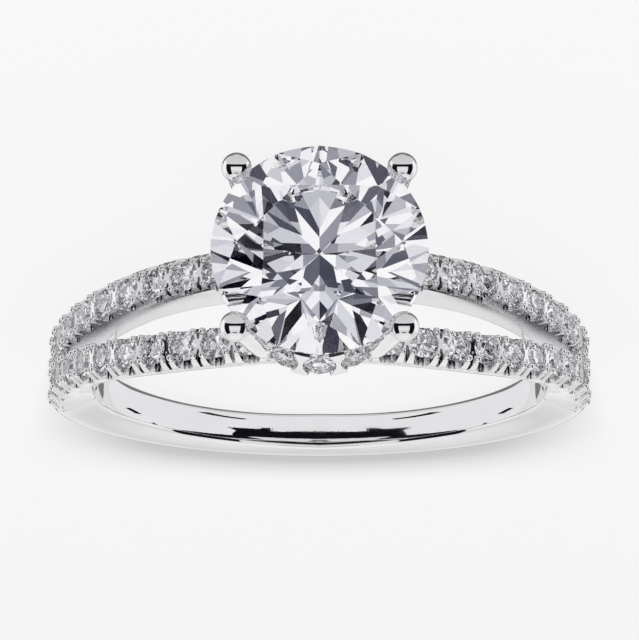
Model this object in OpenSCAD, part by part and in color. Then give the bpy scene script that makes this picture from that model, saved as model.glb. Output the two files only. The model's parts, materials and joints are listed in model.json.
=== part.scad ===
// Split-shank engagement ring: a round brilliant in four ball prongs over a small hidden halo,
// with two diverging rows of scalloped pave. It lies on its side, the stone towards -Y.

/* [Shank] */
// Inner diameter of the finger hole
finger_d = 17; // [16:0.1:19]
// Radial thickness of the shank at its sides and back
shank_t = 1.62; // [1.5:0.02:1.9]
// Radial thickness of the two bands under the stone
band_t = 1.4; // [1.35:0.02:1.6]
// Width of the shank at the back, across the finger
shank_back_w = 1.56; // [1.4:0.02:2.2]

/* [Split bands] */
// Width of one band's top face
band_w = 1.06; // [1.02:0.01:1.2]
// Distance of each row of stones from the middle of the ring, beside the head
row_top = 1.3; // [1.2:0.01:1.5]
// Distance of each row of stones from the middle, where the rows run side by side
row_side = 0.6; // [0.6:0.01:0.65]
// Angle from the head at which the rows start to close up
split_from = 20; // [15:1:30]
// Angle from the head at which the rows have met
split_to = 88; // [80:1:92]

/* [Pave stones] */
// Diameter of a pave stone
pave_d = 1.05; // [0.9:0.01:1.08]
// Number of stones in each half row
pave_n = 11; // [6:1:11]
// Angle of the first stone from the head
pave_from = 14; // [13:0.5:16]
// Angle from stone to stone
pave_step = 7.3; // [7:0.05:7.6]

/* [Centre stone] */
// Diameter of the centre stone
stone_d = 7; // [6.8:0.1:7.2]
// Height of the stone's girdle over the bands' top face
stone_over = 5.6; // [5.4:0.1:6.1]
// Table width, corner to corner, as a share of the stone's diameter
table_share = 0.55; // [0.5:0.01:0.62]

/* [Head] */
// Diameter of a prong's ball
ball_d = 0.98; // [0.8:0.02:1.1]
// Distance of each ball from the stone's axis, along the finger and across it
prong_out = 2.68; // [2.6:0.02:2.8]
// Distance of a halo stone from the stone's axis
halo_r = 2.7; // [2.6:0.05:2.9]
// Height of the halo stones over the bands' top face
halo_over = 1.12; // [1:0.02:1.4]
// Angle by which the halo stones look up
halo_tilt = 22; // [15:1:30]

/* [Hidden] */
gold = "gainsboro";
diamond = "aliceblue";
finger_r = finger_d / 2;
shank_r = finger_r + shank_t;
band_r = finger_r + band_t;
stone_rise = band_r + stone_over;   // heights over the finger axis
halo_rise = band_r + halo_over;
past = 0.5;                 // how far a cutter runs past a face
seat_gap = 0.04;            // air between a stone and its metal
bulge = 0.23;               // how far the outer walls stand out past the top face
gap_bulge = 0.1;            // how far cutters reach past the top face on the gap's side
edge_r = 0.45;              // rounding of the plain shank's outer edges
sharp_r = 0.08;             // rounding of the set bands' outer edges
shoulder = 0.34;            // depth under an edge's rounding at which the walls have their full width
head_in = 0.24;             // how far the walls draw in at the finger hole: beside the head,
side_in = 0.5;              // past the last stones
back_in = 0.13;             // and at the back
in_from = 40;               // angle at which they start to draw in more
plain_steps = 10;           // sections of the plain shank, from the last stone to the back
slot_end = 80;              // angle at which the gap between the bands stops
slot_foot = 0.42;           // half the gap's width at the finger hole, beside the head
slot_close = 0.5;           // how fast the gap's foot closes as the rows close
plain_from = pave_from + (pave_n - 0.36) * pave_step;   // past the last stones
plain_run = 16;             // angle over which its edges turn round

crown_share = 0.15;         // heights as shares of a stone's diameter
girdle_share = 0.03;
small_table = 0.56;         // table of a small stone, corner to corner
pavilion_share = 0.43;
main_share = 0.22;          // radius at which the mains of the centre stone's underside narrow
sink = 0.14;                // girdle of a small stone below the metal's top
scallop_half = 0.36;        // half the width of a scallop at the girdle, and at its floor
scallop_foot = 0.26;
scallop_depth = 0.24;       // depth of a scallop under the girdle
notch_half = 0.12;          // half the width of the notch that splits a post's ends
notch_in = 0.24;            // how far it runs into the post, and how deep it goes
notch_depth = 0.55;

collar_half = 0.56;         // half the height of the halo's sloping face
collar_in = 1.9;            // inner radius of the collar
collar_in_run = 0.25;       // how far the collar's underside stands in from its edge
collar_foot = band_r + 0.3;    // underside of the collar
gallery = [1.55, 2.15, band_r - 0.8];   // inner and outer radius and foot of the ring under it
ball_rise = 0.28;           // middle of a ball over the girdle
neck = [3.45, band_r + 4.7, 0.36];  // distance from the stone's axis, height and radius, down a prong
waist = [2.78, band_r + 1.2, 0.42];
foot = [2.2, band_r - 0.5, 0.45];
post_share = 0.8;           // a prong's post at the ball, as a share of the ball
halo_step = 27.5;           // angle between the halo stones of one side

girdle_r = stone_d / 2;
girdle_low = stone_rise - stone_d * girdle_share / 2;
rest_back = [shank_r - 0.4, shank_back_w / 2];   // where the back of the shank meets the floor
lean = atan((girdle_r - rest_back[1]) / (girdle_low + rest_back[0]));
lift = girdle_r * cos(lean) - girdle_low * sin(lean);
table_y = (stone_rise + stone_d * (crown_share + girdle_share / 2)) * cos(lean)
          + stone_d * table_share / 2 * cos(22.5) * sin(lean);
back_y = (shank_r - edge_r) * cos(lean) + (shank_back_w / 2 - edge_r) * sin(lean) + edge_r;
shift = (table_y - back_y) / 2;

// A share from 1 down to 0 as the angle th goes from a to b
function ease(th, a, b) = th <= a ? 1 : th >= b ? 0 : (1 + cos(180 * (th - a) / (b - a))) / 2;
// The place at angle th from the head, radius r and height u along the finger
function place(th, r, u) = [r * sin(th), -r * cos(th), u];
// Distance of a row of stones from the middle at angle th
function row(th) = row_side + (row_top - row_side) * ease(abs(th), split_from, split_to);
// Outer radius of the metal at angle th
function top_r(th) = abs(th) > 90 ? shank_r : band_r + (shank_r - band_r) * pow(sin(th), 2);
// A share from 1 down to 0 as the angle th goes from past the last stones to the back
function to_back(th) = 1 - max(abs(th) - plain_from, 0) / (180 - plain_from);
// Half the ring's width at angle th, from 0 at the head to 180 at the back
function half_w(th) = let (side = row(th) + band_w / 2 + bulge)
    shank_back_w / 2 + (side - shank_back_w / 2) * pow(to_back(th), 2);
// How far the walls draw in at the finger hole at angle th
function hole_in(th) = abs(th) < plain_from
    ? side_in + (head_in - side_in) * ease(abs(th), in_from, plain_from)
    : back_in + (side_in - back_in) * to_back(th);
// Rounding of the outer edges at angle th
function corner(th) = edge_r - (edge_r - sharp_r) * ease(abs(th), plain_from, plain_from + plain_run);
// How far the top face stands in from the walls at angle th
function in_step(th) = bulge * ease(abs(th), plain_from, plain_from + plain_run);

// One half of the section at angle th, from the finger hole up the wall to the top face
function half_section(th) =
    let (w = half_w(th), r = top_r(th), c = corner(th), s = in_step(th), wide = r - c - shoulder,
         more = past * hole_in(th) / (wide - finger_r))
    concat([[finger_r - past, w - hole_in(th) - more], [wide, w]],
           [for (a = [0:30:90]) [r - c + c * sin(a), w - s - c + c * cos(a)]]);
function section(th) = let (h = half_section(th), n = len(h))
    concat(h, [for (i = [n - 1:-1:0]) [h[i][0], -h[i][1]]]);
// The gap's section at angle th: a wedge that is wider at the top
function slot_section(th) =
    let (r = top_r(th), top = row(th) - band_w / 2, low = slot_foot - slot_close * (row_top - row(th)),
         more = past * (top - low) / (r - finger_r))
    [[finger_r - past, low - more], [r + past, top + more],
     [r + past, -top - more], [finger_r - past, -low + more]];

// Joins sections, each a list of [radius, height] at its angle; a closed loop has no end faces
module sweep(sections, angles, closed = false) {
    m = len(sections[0]);
    k = len(sections);
    points = [for (i = [0:k - 1]) for (p = sections[i]) place(angles[i], p[0], p[1])];
    last = closed ? k - 1 : k - 2;
    sides = [for (i = [0:last]) for (j = [0:m - 1])
        let (a = i * m, b = ((i + 1) % k) * m, j2 = (j + 1) % m)
        each [[a + j, b + j2, a + j2], [a + j, b + j, b + j2]]];
    ends = closed ? [] : [[for (j = [0:m - 1]) j], [for (j = [m - 1:-1:0]) (k - 1) * m + j]];
    polyhedron(points, concat(sides, ends));
}

// A small cut stone with an eight-sided table, its table up and its girdle at 0
module small_stone(d) {
    half = d * girdle_share / 2;
    function at_ring(r, z, turn) = [for (i = [0:7]) [r * cos(45 * i + turn), r * sin(45 * i + turn), z]];
    points = concat(at_ring(d / 2 * small_table, d * crown_share + half, 0), at_ring(d / 2, half, 0),
                    at_ring(d / 2, -half, 0), [[0, 0, -d * pavilion_share - half]]);
    bands = [for (k = [0:1]) for (i = [0:7]) let (j = (i + 1) % 8)
        each [[8 * k + i, 8 * k + j, 8 * k + 8 + j], [8 * k + i, 8 * k + 8 + j, 8 * k + 8 + i]]];
    polyhedron(points, concat([[for (i = [7:-1:0]) i]], bands,
                              [for (i = [0:7]) [16 + i, 16 + (i + 1) % 8, 24]]));
}

// A round brilliant, its table up and its girdle at 0: table, stars, kites, girdle halves and mains
module brilliant(d) {
    r = d / 2;
    t = r * table_share;
    half = d * girdle_share / 2;
    crown = d * crown_share;
    depth = d * pavilion_share;
    star = (t * cos(22.5) + r) / 2;
    low = r * main_share;
    function at_ring(n, r, z, turn) =
        [for (i = [0:n - 1]) [r * cos(360 / n * i + turn), r * sin(360 / n * i + turn), z]];
    points = concat(at_ring(8, t, half + crown, 22.5),
                    at_ring(8, star, half + crown * (r - star * cos(22.5)) / (r - t), 0),
                    at_ring(16, r, half, 0), at_ring(16, r, -half, 0),
                    at_ring(8, low, -half - depth * (1 - low * cos(22.5) / r), 0), [[0, 0, -half - depth]]);
    crown_faces = [for (i = [0:7]) let (next = (i + 1) % 8, rim = 16 + 2 * i, rim2 = 16 + 2 * next)
        each [[(i + 7) % 8, i, 8 + i], [i, 8 + next, rim + 1, 8 + i],
              [8 + next, rim2, rim + 1], [8 + i, rim + 1, rim]]];
    girdle_faces = [for (j = [0:15]) let (k = (j + 1) % 16) [16 + j, 16 + k, 32 + k, 32 + j]];
    pavilion_faces = [for (i = [0:7]) let (next = (i + 1) % 8, rim = 32 + 2 * i, rim2 = 32 + 2 * next)
        each [[rim, rim + 1, 48 + i], [rim + 1, rim2, 48 + next], [rim + 1, 48 + next, 56, 48 + i]]];
    polyhedron(points, concat([[for (i = [7:-1:0]) i]], crown_faces, girdle_faces, pavilion_faces));
}

// Puts its children on a band, table outwards: side is 1 for the front band, which lies uppermost
module on_band(th, side) {
    translate(place(th, top_r(th) - sink, side * row(th)))
        rotate([0, 0, th]) rotate([90, 0, 0]) children();
}

// Puts its children round the halo, table outwards
module on_halo() {
    for (quarter = [0:90:270], i = [-1:1])
        translate([0, -halo_rise, 0]) rotate([0, quarter + i * halo_step, 0])
            translate([0, 0, halo_r]) rotate([halo_tilt, 0, 0]) translate([0, 0, -sink]) children();
}

// The stones of one band on one side of the head: from is -1 on the left and 1 on the right
module half_row(from, side) {
    color(diamond) for (i = [0:pave_n - 1])
        on_band(from * (pave_from + i * pave_step), side) small_stone(pave_d);
}

seat_r = pave_d / 2 + seat_gap;
seat_floor = -(pave_d * girdle_share + seat_gap) / 2;   // just under a small stone's girdle
seat_top = 0.6;                                         // room kept free over it

// Room for a small stone: a cone under it and a round well over it
module stone_seat() {
    depth = pave_d * (pavilion_share + girdle_share / 2) + 1.5 * seat_gap;
    rotate_extrude($fn = 32)
        polygon([[0, -depth], [seat_r, seat_floor], [seat_r, seat_top], [0, seat_top]]);
}

// Room for a stone of a band, with the scallop that opens it through both walls
module band_seat(side) {
    reach = [for (end = [-1, 1]) band_w / 2 + 2 * (end == side ? bulge : gap_bulge)];
    stone_seat();
    translate([0, reach[1], 0]) rotate([90, 0, 0]) linear_extrude(height = reach[0] + reach[1])
        polygon([[-scallop_half, seat_top], [scallop_half, seat_top],
                 [scallop_foot, -scallop_depth], [-scallop_foot, -scallop_depth]]);
}

// The notches that split the two ends of the post between two stones into beads
module post_notches(side) {
    for (end = [-1, 1]) let (out = end == side ? bulge : gap_bulge)
        translate([0, end * (band_w / 2 + out), -notch_depth / 2])
            linear_extrude(height = notch_depth + seat_top)
                polygon([[-notch_half, 0], [0, -end * (notch_in + out)], [notch_half, 0],
                         [0, end * gap_bulge]]);
}

// Angles of the sections of one side: midway between the stones, then on to the back
side_angles = concat([for (i = [0:pave_n]) pave_from + (i - 0.5) * pave_step],
                     [for (i = [1:plain_steps - 1]) let (last = pave_from + (pave_n - 0.5) * pave_step)
                         last + (180 - last) * i / plain_steps]);

module loop() {
    n = len(side_angles);
    angles = concat([0], side_angles, [180], [for (i = [n - 1:-1:0]) -side_angles[i]]);
    sweep([for (a = angles) section(a)], angles, closed = true);
}

// The gap between the bands, cut right through
module slot() {
    half = [for (a = side_angles) if (a < slot_end) a];
    n = len(half);
    angles = concat([for (i = [n - 1:-1:0]) -half[i]], [0], half);
    sweep([for (a = angles) slot_section(a)], angles);
}

// The sloping ring that holds the halo, and the plain ring that joins it to the bands
module collar() {
    middle = [halo_r, halo_rise];
    run = [-sin(halo_tilt), cos(halo_tilt)] * collar_half;
    top = middle + run;
    low = middle - run;
    rotate([90, 0, 0]) {
        rotate_extrude($fn = 96) polygon([low, top, [collar_in, top[1]], [collar_in, collar_foot],
                                          [low[0] - collar_in_run, collar_foot]]);
        rotate_extrude($fn = 96) polygon([[gallery[0], gallery[2]], [gallery[1], gallery[2]],
                                          [gallery[1], low[1]], [gallery[0], low[1]]]);
    }
}

// One prong: a ball over the stone's edge and a round post that bends in at the collar
module prong() {
    stations = [[prong_out * sqrt(2), stone_rise + ball_rise, ball_d / 2], neck, waist, foot];
    for (s = stations) translate([s[0], -s[1], 0]) sphere(r = s[2], $fn = 32);
    for (i = [0:2]) let (up = stations[i], low = stations[i + 1], run = up - low)
        translate([low[0], -low[1], 0]) rotate([0, 0, atan2(run[0], run[1])]) rotate([90, 0, 0])
            cylinder(h = norm([run[0], run[1]]), r1 = low[2],
                     r2 = i == 0 ? up[2] * post_share : up[2], $fn = 32);
}

module finger_hole() {
    cylinder(h = finger_d, r = finger_r, center = true, $fn = 96);
}

// The shank and the two set bands, with the seats of the rows cut in them
module bands() {
    difference() {
        loop();
        slot();
        finger_hole();
        for (from = [-1, 1], side = [-1, 1], i = [0:pave_n - 1])
            on_band(from * (pave_from + i * pave_step), side) band_seat(side);
        for (from = [-1, 1], side = [-1, 1], i = [0:pave_n - 2])
            on_band(from * (pave_from + (i + 0.5) * pave_step), side) post_notches(side);
    }
}

// The collar and the prongs, cut for the stones
module head() {
    difference() {
        union() {
            collar();
            for (a = [45:90:315]) rotate([0, a, 0]) prong();
        }
        on_halo() stone_seat();
        translate([0, -stone_rise, 0]) rotate([90, 0, 0]) brilliant(stone_d + 2 * seat_gap);
        for (from = [-1, 1], side = [-1, 1]) on_band(from * pave_from, side) band_seat(side);
        finger_hole();
    }
}

module ring_metal() {
    color(gold) {
        bands();
        head();
    }
}

module center_stone() {
    color(diamond) translate([0, -stone_rise, 0]) rotate([90, 0, 0]) brilliant(stone_d);
}

module halo_stones() {
    color(diamond) on_halo() small_stone(pave_d);
}

// Lays the ring on its side: it rests on the stone's edge and the back of the shank
module lying() {
    translate([0, shift, lift]) rotate([-lean, 0, 0]) children();
}

lying() ring_metal();
lying() center_stone();
lying() half_row(-1, 1);  // front_left_pave
lying() half_row(1, 1);  // front_right_pave
lying() half_row(-1, -1);  // rear_left_pave
lying() half_row(1, -1);  // rear_right_pave
lying() halo_stones();
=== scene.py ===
"""Dresses the engagement ring: polished white gold, cut diamonds and a plain studio.

Every piece is modelled in millimetres with the finger axis along Z and the stone towards -Y, and is
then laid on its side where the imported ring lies.
"""

import json
import math

import bmesh
import bpy
from bpy.props import FloatProperty, FloatVectorProperty, IntProperty, PointerProperty
from mathutils import Matrix, Vector


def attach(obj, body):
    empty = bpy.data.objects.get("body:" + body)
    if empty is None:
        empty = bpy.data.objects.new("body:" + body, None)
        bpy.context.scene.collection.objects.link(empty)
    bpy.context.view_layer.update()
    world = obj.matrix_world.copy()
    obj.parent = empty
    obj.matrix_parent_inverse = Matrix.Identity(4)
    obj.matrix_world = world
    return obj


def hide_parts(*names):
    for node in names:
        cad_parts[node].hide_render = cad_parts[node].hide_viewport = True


bl_info = {
    "name": "Split-shank halo ring",
    "version": (1, 0, 0),
    "blender": (4, 5, 0),
    "location": "3D View > Sidebar > Ring",
    "description": "Models a split-shank engagement ring with a hidden halo around its packed frame",
    "category": "Object",
}

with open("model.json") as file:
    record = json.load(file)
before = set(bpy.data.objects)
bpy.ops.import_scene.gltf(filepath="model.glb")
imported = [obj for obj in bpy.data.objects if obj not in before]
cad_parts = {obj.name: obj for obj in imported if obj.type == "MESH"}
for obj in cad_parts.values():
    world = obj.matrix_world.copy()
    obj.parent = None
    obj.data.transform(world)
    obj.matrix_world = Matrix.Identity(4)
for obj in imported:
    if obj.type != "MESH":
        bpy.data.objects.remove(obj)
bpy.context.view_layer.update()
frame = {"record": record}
HOLE = next(m for m in frame["record"]["mounts"] if m["name"] == "finger_hole")
MM = 0.001


def length(name, description, millimetres):
    return FloatProperty(name=name, description=description, default=millimetres * MM,
                         unit="LENGTH", precision=5)


def angle(name, description, degrees):
    return FloatProperty(name=name, description=description, default=math.radians(degrees), unit="ROTATION")


def share(name, description, default):
    return FloatProperty(name=name, description=description, default=default, subtype="FACTOR", min=0, max=1)


def colour(name, description, default):
    return FloatVectorProperty(name=name, description=description, default=default,
                               subtype="COLOR", min=0, max=1)


class ShankSizes(bpy.types.PropertyGroup):
    """Sizes of the shank and its two set bands"""

    finger_r: length("Finger hole", "Radius of the finger hole", HOLE["dims"]["r_mm"])
    shank_t: length("Shank", "Radial thickness of the shank at its sides and back", 1.62)
    band_t: length("Bands", "Radial thickness of the bands under the stone", 1.4)
    back_w: length("Back", "Width of the shank at the back, across the finger", 1.56)
    band_w: length("Band width", "Width of one band's top face", 1.06)
    row_top: length("Rows at the head", "Distance of each row from the middle, beside the head", 1.3)
    row_side: length("Rows at the sides", "Distance of each row from the middle, at the sides", 0.6)
    bulge: length("Bulge", "How far the outer walls stand out past the top face", 0.23)
    edge_r: length("Edge", "Rounding of the plain shank's outer edges", 0.45)
    sharp_r: length("Band edge", "Rounding of the set bands' outer edges", 0.08)
    gap_foot: length("Gap foot", "Half the gap's width at the finger hole, beside the head", 0.42)
    split_from: angle("Split from", "Angle from the head at which the rows start to close up", 20)
    split_to: angle("Split to", "Angle from the head at which the rows have met", 88)
    gap_end: angle("Gap end", "Angle from the head at which the gap between the bands has closed", 80)
    plain_run: angle("Plain run", "Angle over which the plain shank's edges turn round", 16)
    head_in: length("Inner edge at the head", "How far the walls draw in, beside the head", 0.24)
    side_in: length("Inner edge at the sides", "How far the walls draw in, past the last stones", 0.5)
    back_in: length("Inner edge at the back", "How far the walls draw in, at the back", 0.03)
    in_from: angle("Inner edge from", "Angle at which the walls start to draw in more", 40)


class StoneSizes(bpy.types.PropertyGroup):
    """Sizes and cut of the stones"""

    pave_d: length("Small stone", "Diameter of a small stone", 1.05)
    sink: length("Sink", "Girdle of a small stone below the metal's top", 0.14)
    pave_n: IntProperty(name="Stones", description="Number of stones in each half row", default=11)
    pave_from: angle("First stone", "Angle of the first stone from the head", 14)
    pave_step: angle("Stone step", "Angle from stone to stone", 7.3)
    stone_d: length("Centre stone", "Diameter of the centre stone", 7)
    stone_over: length("Stone height", "Height of the stone's girdle over the bands' top face", 5.6)
    table: share("Table", "Table of the centre stone, corner to corner", 0.55)
    small_table: share("Small table", "Table of a small stone, corner to corner", 0.56)
    crown: share("Crown", "Height of the crown", 0.15)
    girdle: share("Girdle", "Height of the girdle", 0.03)
    pavilion: share("Pavilion", "Depth of the pavilion", 0.43)
    star: share("Stars", "Length of the stars from the table to the girdle", 0.5)
    halves: share("Lower halves", "Length of the lower halves from the girdle to the culet", 0.78)


class HeadSizes(bpy.types.PropertyGroup):
    """Sizes of the prongs and the collar under the stone"""

    ball_d: length("Ball", "Diameter of a prong's ball", 0.98)
    ball_rise: length("Ball rise", "Middle of a ball over the girdle", 0.28)
    prong_out: length("Prong place", "Distance of a ball from the stone's axis, along and across", 2.68)
    halo_r: length("Halo", "Distance of a halo stone from the stone's axis", 2.7)
    halo_over: length("Halo height", "Height of the halo stones over the bands' top face", 1.12)
    halo_tilt: angle("Halo tilt", "Angle by which the halo stones look up", 22)
    halo_step: angle("Halo step", "Angle between the halo stones of one side", 27.5)


class RingColours(bpy.types.PropertyGroup):
    """Colours of the ring and the studio"""

    gold: colour("White gold", "Colour of the polished metal", (0.90, 0.90, 0.91))
    gold_haze: colour("Haze", "Colour of the metal where its polish is hazy", (0.86, 0.86, 0.87))
    diamond: colour("Diamond", "Colour of the centre stone", (0.9, 0.9, 0.905))
    diamond_cool: colour("Cool diamond", "Cool tint in parts of the stones", (0.985, 0.99, 1.0))
    centre_glint: colour("Centre glint", "What the centre stone's outside reflects", (0.12, 0.12, 0.14))
    small_glint: colour("Small glint", "What the small stones' outsides reflect", (1.0, 1.0, 1.0))
    floor: colour("Floor", "Colour of the floor", (0.06, 0.06, 0.06))
    # painted shade: the metal's colour in the recesses and at the collar's edge against the stone
    gold_painted_shade: colour("Recesses", "Colour of the metal deep in the seats and notches", (0.05, 0.05, 0.055))
    hole: colour("Light card", "Colour of the round card in the finger hole", (0.86, 0.86, 0.87))
    card: colour("Dark card", "Colour of the dark card on it", (0.006, 0.006, 0.008))
    gap: colour("Gap cards", "Colour of the cards in the ends of the gap", (0.86, 0.86, 0.87))


class StudioSizes(bpy.types.PropertyGroup):
    """Place and lens of the camera"""

    distance: length("Camera distance", "From the ring's centre to the camera", 95.96)
    rise: length("Camera rise", "How far the camera sits to the side of the ring's centre", 2.144)
    tilt: angle("Camera tilt", "Angle of the view to the stone's axis", 16.58)
    focal: FloatProperty(name="Focal length", description="Focal length in pixels", default=2523.3)


# Places on the ring


def ease(x, low, high):
    """A share from 1 down to 0 as x goes from low to high."""
    t = min(max((x - low) / (high - low), 0), 1)
    return (1 + math.cos(math.pi * t)) / 2


def mix(a, b, t):
    return a + (b - a) * t


class Plan:
    """The ring's sizes in millimetres and radians, and the places that follow from them."""

    plain_half = math.radians(90)
    shoulder = 0.34  # depth under an edge's rounding at which the walls have their full width
    saddle_from = math.radians(61)  # the saddle that closes the gap leaves the finger hole here
    saddle_to = math.radians(93)  # and would be as high as it gets here
    saddle_top = 0.12  # its depth under the top face where it is highest

    def __init__(self):
        for group in (settings().shank, settings().stones, settings().head):
            for name, prop in group.bl_rna.properties.items():
                if prop.type in ("FLOAT", "INT"):
                    value = getattr(group, name)
                    setattr(self, name, value / MM if prop.unit == "LENGTH" else value)
        self.shank_r = self.finger_r + self.shank_t
        self.band_r = self.finger_r + self.band_t
        self.stone_rise = self.band_r + self.stone_over
        self.halo_rise = self.band_r + self.halo_over
        self.plain_from = self.pave_from + (self.pave_n - 0.5) * self.pave_step
        self.pitch = self.pave_step * (self.band_r - self.sink)

    def row(self, th):
        return mix(self.row_side, self.row_top, ease(abs(th), self.split_from, self.split_to))

    def stone_angles(self, hand):
        """Angles of a half row's stones from the head."""
        return [hand * (self.pave_from + i * self.pave_step) for i in range(self.pave_n)]

    def halo_turns(self):
        """Angles of the halo stones round the centre stone's axis."""
        return [quarter * math.pi / 2 + i * self.halo_step for quarter in range(4) for i in (-1, 0, 1)]

    def top_r(self, th):
        swell = math.sin(th) ** 2 if abs(th) < self.plain_half else 1
        return mix(self.band_r, self.shank_r, swell)

    def to_back(self, th):
        """A share from 1 down to 0 past the last stones."""
        return 1 - max(abs(th) - self.plain_from, 0) / (math.pi - self.plain_from)

    def half_w(self, th):
        side = self.row(th) + self.band_w / 2 + self.bulge
        return mix(self.back_w / 2, side, self.to_back(th) ** 2)

    def hole_in(self, th):
        """How far the walls draw in at the finger hole."""
        if abs(th) < self.plain_from:
            return mix(self.side_in, self.head_in, ease(abs(th), self.in_from, self.plain_from))
        return mix(self.back_in, self.side_in, self.to_back(th))

    def plain_ease(self, th):
        return ease(abs(th), self.plain_from, self.plain_from + self.plain_run)

    def corner(self, th):
        return mix(self.edge_r, self.sharp_r, self.plain_ease(th))

    def wall(self, th, depth):
        """Distance of the outer wall from the middle at a depth under the top face."""
        wide = self.corner(th) + self.shoulder
        if depth < wide:
            return self.half_w(th) - self.bulge * self.plain_ease(th) * ((wide - depth) / wide) ** 1.6
        foot = (depth - wide) / (self.top_r(th) - self.finger_r - wide)
        return self.half_w(th) - self.hole_in(th) * foot ** 1.3

    def gap_wall(self, th, depth):
        """Distance of the gap's wall from the middle at a depth."""
        f = depth / (self.top_r(th) - self.finger_r)
        top = self.row(th) - self.band_w / 2
        foot = self.gap_foot - (self.row_top - self.row(th)) / 2
        return mix(top, foot, f)

    def saddle_depth(self, th):
        """Depth of the saddle that closes the gap, from the finger hole up towards the top face."""
        low = ease(abs(th), self.saddle_from, self.saddle_to)
        return mix(self.saddle_top, self.top_r(th) - self.finger_r, low)


def settings():
    return bpy.context.scene.ring_settings


def place(th, r, u):
    """The place at angle th from the head, radius r and height u along the finger."""
    return Vector((r * math.sin(th), -r * math.cos(th), u))


def place_round(turn, r, rise):
    """The place at an angle round the centre stone's axis, radius r and height along it."""
    return Vector((r * math.sin(turn), -rise, r * math.cos(turn)))


def lying():
    """From millimetres with the finger along Z to where the ring lies."""
    axis = Vector(HOLE["axis"]).normalized()
    across = Vector((1, 0, 0))
    turn = Matrix((across, axis.cross(across), axis)).transposed().to_4x4()
    return Matrix.Translation(HOLE["pos_m"]) @ turn @ Matrix.Scale(MM, 4)


# Making and finishing meshes


SAME = 1e-6  # mm between places that count as one
WELD = 2e-4  # mm over which the ends of neighbouring cells are joined
SHARP = {"cells": 38, "plain": 40, "stones": 1}  # degrees past which an edge stays sharp


def all_geometry(bm):
    return bm.verts[:] + bm.edges[:] + bm.faces[:]


def mark_edges(bm, degrees):
    """Smooth faces that break at edges sharper than the angle."""
    limit = math.radians(degrees)
    for face in bm.faces:
        face.smooth = True
    for edge in bm.edges:
        edge.smooth = len(edge.link_faces) == 2 and edge.calc_face_angle(math.pi) < limit


def shell_of(face, left):
    """Takes the faces joined to a face out of a set."""
    shell = {face}
    edge_faces = [face]
    while edge_faces:
        for edge in edge_faces.pop().edges:
            for other in edge.link_faces:
                if other in left:
                    left.remove(other)
                    shell.add(other)
                    edge_faces.append(other)
    return list(shell)


def turn_outward(bm):
    """Turns the faces of every closed shell outwards, judged by the shell's volume."""
    bmesh.ops.recalc_face_normals(bm, faces=bm.faces[:])
    left = set(bm.faces)
    while left:
        shell = shell_of(left.pop(), left)
        if sum(f.calc_center_median().dot(f.normal) * f.calc_area() for f in shell) < 0:
            bmesh.ops.reverse_faces(bm, faces=shell)


def to_mesh(bm, name):
    mesh = bpy.data.meshes.new(name)
    bm.to_mesh(mesh)
    bm.free()
    return mesh


def add_object(name, data):
    made = bpy.data.objects.new(name, data)
    bpy.context.scene.collection.objects.link(made)
    return made


def finish_piece(name, bm, node, material, sharp):
    """Lays a mesh on its side and makes it a piece that stands for a node."""
    turn_outward(bm)
    mark_edges(bm, sharp)
    bmesh.ops.transform(bm, matrix=lying(), verts=bm.verts[:])
    piece = add_object(name, to_mesh(bm, name))
    piece.data.materials.append(material)
    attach(piece, "root")
    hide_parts(node)


def add_copy(bm, mesh, move):
    """Adds a copy of a mesh to bm, each vertex moved by a function."""
    copy = mesh.copy()
    for vert in copy.vertices:
        vert.co = move(vert.co)
    bm.from_mesh(copy)
    bpy.data.meshes.remove(copy)


def cut_away(body, cutters):
    """The body's mesh without the cutters', both freed."""
    stand_in = {}
    for name, bm in (("body", body), ("cutters", cutters)):
        bmesh.ops.recalc_face_normals(bm, faces=bm.faces[:])
        stand_in[name] = add_object(name, to_mesh(bm, name))
    cut = stand_in["body"].modifiers.new("cut", "BOOLEAN")
    cut.operation = "DIFFERENCE"
    cut.solver = "EXACT"
    cut.use_self = True
    cut.object = stand_in["cutters"]
    result = bmesh.new()
    result.from_object(stand_in["body"], bpy.context.evaluated_depsgraph_get())
    for obj in stand_in.values():
        mesh = obj.data
        bpy.data.objects.remove(obj)
        bpy.data.meshes.remove(mesh)
    return result


def slice_at(bm, axis, places):
    """Cuts edge loops across a mesh at places along an axis."""
    normal = Vector((0, 0, 0))
    normal[axis] = 1
    for at in places:
        bmesh.ops.bisect_plane(bm, geom=all_geometry(bm), dist=1e-5, plane_co=normal * at, plane_no=normal)


def slice_evenly(bm, long, steps):
    """Cuts a bar along X into equal steps."""
    slice_at(bm, 0, [long * (i / steps - 0.5) for i in range(1, steps)])


def open_ends(bm, half):
    """Takes away the end faces of a bar along X."""
    ends = [f for f in bm.faces if all(abs(abs(v.co.x) - half) < 1e-4 for v in f.verts)]
    bmesh.ops.delete(bm, geom=ends, context="FACES_ONLY")
    loose = [e for e in bm.edges if not e.link_faces]
    bmesh.ops.delete(bm, geom=loose, context="EDGES")


def round_edges(bm, level, across, radius, segments):
    """Rounds the edges at a height that run square to the axis across."""
    edges = [e for e in bm.edges if all(abs(v.co.z - level) < SAME for v in e.verts)
             and abs(e.verts[0].co[across] - e.verts[1].co[across]) < SAME]
    bmesh.ops.bevel(bm, geom=edges, offset=radius, segments=segments, profile=0.5,
                    affect="EDGES", material=-1)


def bar(long, half, depth, top_round, foot_round, segments):
    """A closed bar along X with rounded long edges, its top face at 0."""
    bm = bmesh.new()
    bmesh.ops.create_cube(bm, size=1)
    bmesh.ops.scale(bm, vec=(long, 2 * half, depth), verts=bm.verts[:])
    bmesh.ops.translate(bm, vec=(0, 0, -depth / 2), verts=bm.verts[:])
    round_edges(bm, 0, 1, top_round, segments)
    round_edges(bm, -depth, 1, foot_round, segments)
    return bm


# The small stones' setting


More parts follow.
